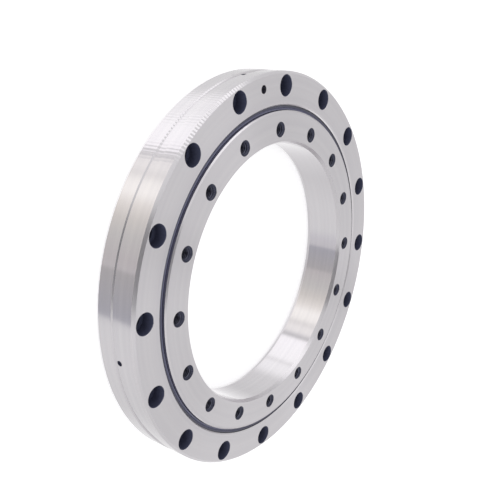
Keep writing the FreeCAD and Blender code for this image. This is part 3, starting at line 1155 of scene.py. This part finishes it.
@dataclass
class Studio:
    """Pale floor and soft light all round."""

    floor_size_m: float = 12.0
    floor_colour: str = "#E9E9EA"
    floor_roughness: float = 0.9
    floor_glow: float = 0.42
    white: str = "#FFFFFF"
    low_sky: float = 0.82
    high_sky: float = 1.0
    low_sky_height: float = 0.4
    high_sky_height: float = 0.8
    full_tone: float = 2.0
    wall_tones: tuple[Tone, ...] = (
        Tone(-125.0, 1.08),
        Tone(-113.0, 1.18),
        Tone(-103.0, 1.03),
        Tone(-82.0, 0.82),
        Tone(-60.0, 0.9),
        Tone(-48.0, 0.93),
        Tone(-38.0, 1.25),
        Tone(-28.0, 1.3),
        Tone(-24.5, 1.05),
        Tone(-21.0, 1.38),
        Tone(3.0, 1.42, "#FFFEFF"),
        Tone(6.0, 0.62, "#FFFEFF"),
        Tone(8.5, 0.95, "#FFFEFF"),
        Tone(11.0, 1.22, "#FFFDFA"),
        Tone(16.0, 1.22, "#FFFDFA"),
        Tone(20.0, 1.05, "#FFFDFA"),
        Tone(25.0, 1.33, "#FFFDF8"),
        Tone(32.0, 1.36, "#FFFDF8"),
        Tone(39.0, 1.1, "#FFFBF4"),
        Tone(48.0, 0.88, "#FFFBF4"),
        Tone(58.0, 0.76, "#FFFDF9"),
        Tone(72.0, 0.7, "#FFFAF9"),
        Tone(104.0, 0.82, "#FCFBFF"),
        Tone(112.0, 0.91),
        Tone(136.0, 0.91),
        Tone(170.0, 0.84),
        Tone(201.0, 0.93),
        Tone(222.0, 1.05),
        Tone(235.0, 1.08),
    )

    def build(self) -> None:
        """Lay the floor, hang the lamps and set the world's light."""
        self.floor()
        self.world()
        self.lamp("right_lamp", place=(1.46, -0.5, 0.66), size=(1.2, 0.8), power=2.2)
        self.lamp("left_lamp", place=(0.17, 1.61, 0.53), size=(0.8, 0.5), power=5.2)
        self.lamp("back_lamp", place=(-1.52, -0.55, 0.53), size=(1.5, 0.5), power=1.0)
        self.cards()
        LOG.info("studio built")

    def cards(self) -> None:
        """Hang a grey card that puts the dark band on the walls, and a dark one for the chamfers."""
        grey = Card(
            name="grey_card",
            azimuth_deg=86.7,
            distance_m=0.347,
            width_m=0.15,
            low_m=-0.43,
            high_m=-0.08,
            strength=0.57,
            tints=("#FFFCFB", "#F5F6FF"),
        )
        dark = Card(
            name="dark_card",
            azimuth_deg=70.5,
            distance_m=1.3,
            width_m=1.38,
            low_m=0.28,
            high_m=2.9,
            strength=0.4,
            tints=("#E0DFE0", "#3A3A4A"),
        )
        grey.hang()
        dark.hang()

    def floor(self) -> None:
        """Lay a wide floor that catches the shadow and shows white where nothing shades it.

        The steel walls don't mirror it: they show the studio all round, as they do when the
        bearing stands upright.
        """
        work = bmesh.new()
        bmesh.ops.create_grid(work, x_segments=1, y_segments=1, size=self.floor_size_m / 2)
        floor = mesh_object("floor", work, smooth=False)
        material, tree = new_material("floor_paint")
        matt = add_node(
            tree,
            "ShaderNodeBsdfPrincipled",
            inputs={
                "Base Color": linear(self.floor_colour),
                "Roughness": self.floor_roughness,
                "Specular IOR Level": 0.0,
            },
        )
        glow = add_node(
            tree, "ShaderNodeEmission", inputs={"Color": linear(self.white), "Strength": self.seen(tree)}
        )
        lit = add_node(tree, "ShaderNodeAddShader", inputs={0: matt.outputs[0], 1: glow.outputs[0]})
        give_surface(tree, lit.outputs[0])
        dress(floor, material)
        floor.visible_glossy = False

    def seen(self, tree: bpy.types.NodeTree) -> bpy.types.NodeSocket:
        """Build the strength of the floor's glow.

        Args:
            tree: the floor's node tree.

        Returns:
            The glow for the camera, for reflections and for glass, and 0 for all other light.
        """
        path = add_node(tree, "ShaderNodeLightPath")
        shown = path.outputs["Is Camera Ray"]
        for ray in ("Is Glossy Ray", "Is Transmission Ray"):
            shown = add_node(
                tree, "ShaderNodeMath", {"operation": "MAXIMUM"}, {0: shown, 1: path.outputs[ray]}
            ).outputs[0]
        glow = add_node(tree, "ShaderNodeMath", {"operation": "MULTIPLY"}, {0: shown, 1: self.floor_glow})
        return glow.outputs[0]

    def world(self) -> None:
        """Fill the room with light: even above, and graded by azimuth for what the walls mirror."""
        world = bpy.data.worlds.new("studio")
        bpy.context.scene.world = world
        world.use_nodes = True
        tree = world.node_tree
        tree.nodes.clear()
        direction = add_node(tree, "ShaderNodeTexCoord").outputs["Generated"]
        height = add_node(tree, "ShaderNodeSeparateXYZ", inputs={0: direction}).outputs["Z"]
        strength = add_node(
            tree,
            "ShaderNodeMapRange",
            {"interpolation_type": "SMOOTHSTEP"},
            {
                "Value": height,
                "From Min": self.low_sky_height,
                "From Max": self.high_sky_height,
                "To Min": self.low_sky,
                "To Max": self.high_sky,
            },
        ).outputs[0]
        above = add_node(
            tree,
            "ShaderNodeBackground",
            inputs={"Color": linear(self.white), "Strength": strength},
        )
        below = add_node(
            tree,
            "ShaderNodeBackground",
            inputs={"Color": self.ramp(tree, direction), "Strength": self.full_tone},
        )
        rising = add_node(
            tree, "ShaderNodeMath", {"operation": "GREATER_THAN"}, {0: height, 1: 0.0}
        )
        light = add_node(
            tree,
            "ShaderNodeMixShader",
            inputs={0: rising.outputs[0], 1: below.outputs[0], 2: above.outputs[0]},
        )
        backdrop = add_node(
            tree, "ShaderNodeBackground", inputs={"Color": linear(self.white), "Strength": 1.0}
        )
        path = add_node(tree, "ShaderNodeLightPath")
        sky = add_node(
            tree,
            "ShaderNodeMixShader",
            inputs={0: path.outputs["Is Camera Ray"], 1: light.outputs[0], 2: backdrop.outputs[0]},
        )
        add_node(tree, "ShaderNodeOutputWorld", inputs={"Surface": sky.outputs[0]})

    def ramp(
        self, tree: bpy.types.NodeTree, direction: bpy.types.NodeSocket
    ) -> bpy.types.NodeSocket:
        """Spread the walls' tones round the horizon.

        Args:
            tree: the world's node tree.
            direction: the direction that light comes from.

        Returns:
            The light's colour, as a share of a full tone.
        """
        first = math.radians(self.wall_tones[0].azimuth_deg)
        axes = add_node(tree, "ShaderNodeSeparateXYZ", inputs={0: direction})
        azimuth = add_node(
            tree, "ShaderNodeMath", {"operation": "ARCTAN2"}, {0: axes.outputs["Y"], 1: axes.outputs["X"]}
        )
        wrapped = add_node(
            tree,
            "ShaderNodeMath",
            {"operation": "WRAP"},
            {0: azimuth.outputs[0], 1: first + math.tau, 2: first},
        )
        share = add_node(
            tree,
            "ShaderNodeMapRange",
            inputs={"Value": wrapped.outputs[0], "From Min": first, "From Max": first + math.tau},
        )
        ramp = add_node(tree, "ShaderNodeValToRGB", inputs={0: share.outputs[0]})
        stops = ramp.color_ramp.elements
        while len(stops) < len(self.wall_tones):
            stops.new(1.0)
        turn_deg = math.degrees(math.tau)
        for stop, tone in zip(stops, self.wall_tones):
            stop.position = (tone.azimuth_deg - self.wall_tones[0].azimuth_deg) / turn_deg
            stop.color = tone.colour(self.full_tone)
        return ramp.outputs[0]

    def lamp(
        self, name: str, place: tuple[float, float, float], size: tuple[float, float], power: float
    ) -> None:
        """Hang a soft box that looks at the part.

        Args:
            name: the lamp's name.
            place: its centre, in metres.
            size: its width and height, in metres.
            power: its power, in watts.
        """
        data = bpy.data.lights.new(name, "AREA")
        data.shape = "RECTANGLE"
        data.size, data.size_y = size
        data.energy = power
        lamp = bpy.data.objects.new(name, data)
        lamp.location = place
        lamp.rotation_mode = "QUATERNION"
        lamp.rotation_quaternion = Vector(place).to_track_quat("Z", "Y")
        bpy.context.scene.collection.objects.link(lamp)


@dataclass
class PictureCamera:
    """The camera at the picture's viewing angle, rolled so that the flat ring looks upright."""

    aim_mm: tuple[float, float, float] = (2.1, 20.3, 12.7)
    distance_mm: float = 379.5
    azimuth_deg: float = 146.59
    elevation_deg: float = 34.24
    roll_deg: float = 105.63
    lens_mm: float = 50.47
    shift: tuple[float, float] = (0.0083, 0.086)
    nearest_seen_m: float = 0.01

    def build(self) -> None:
        """Set the camera up and make it the scene's own."""
        azimuth = math.radians(self.azimuth_deg)
        elevation = math.radians(self.elevation_deg)
        back = Vector(
            (
                math.sin(azimuth) * math.cos(elevation),
                -math.cos(azimuth) * math.cos(elevation),
                math.sin(elevation),
            )
        )
        roll = Quaternion((0.0, 0.0, 1.0), math.radians(self.roll_deg))
        data = bpy.data.cameras.new("picture_camera")
        data.lens = self.lens_mm
        data.shift_x, data.shift_y = self.shift
        data.clip_start = self.nearest_seen_m
        camera = bpy.data.objects.new("picture_camera", data)
        camera.location = (Vector(self.aim_mm) + back * self.distance_mm) * MM
        camera.rotation_mode = "QUATERNION"
        camera.rotation_quaternion = back.to_track_quat("Z", "Y") @ roll
        bpy.context.scene.collection.objects.link(camera)
        bpy.context.scene.camera = camera
        LOG.info("camera set")


def main() -> None:
    """Build the camera, the bearing's finishes and pieces, and the studio, in that order."""
    logging.basicConfig(level=logging.INFO, format="%(message)s")
    bpy.context.scene.view_settings.view_transform = "Standard"
    PictureCamera().build()
    OuterRing().finish()
    InnerRing().finish()
    RunningParts().finish()
    Studio().build()


if __name__ == "__main__":
    main()
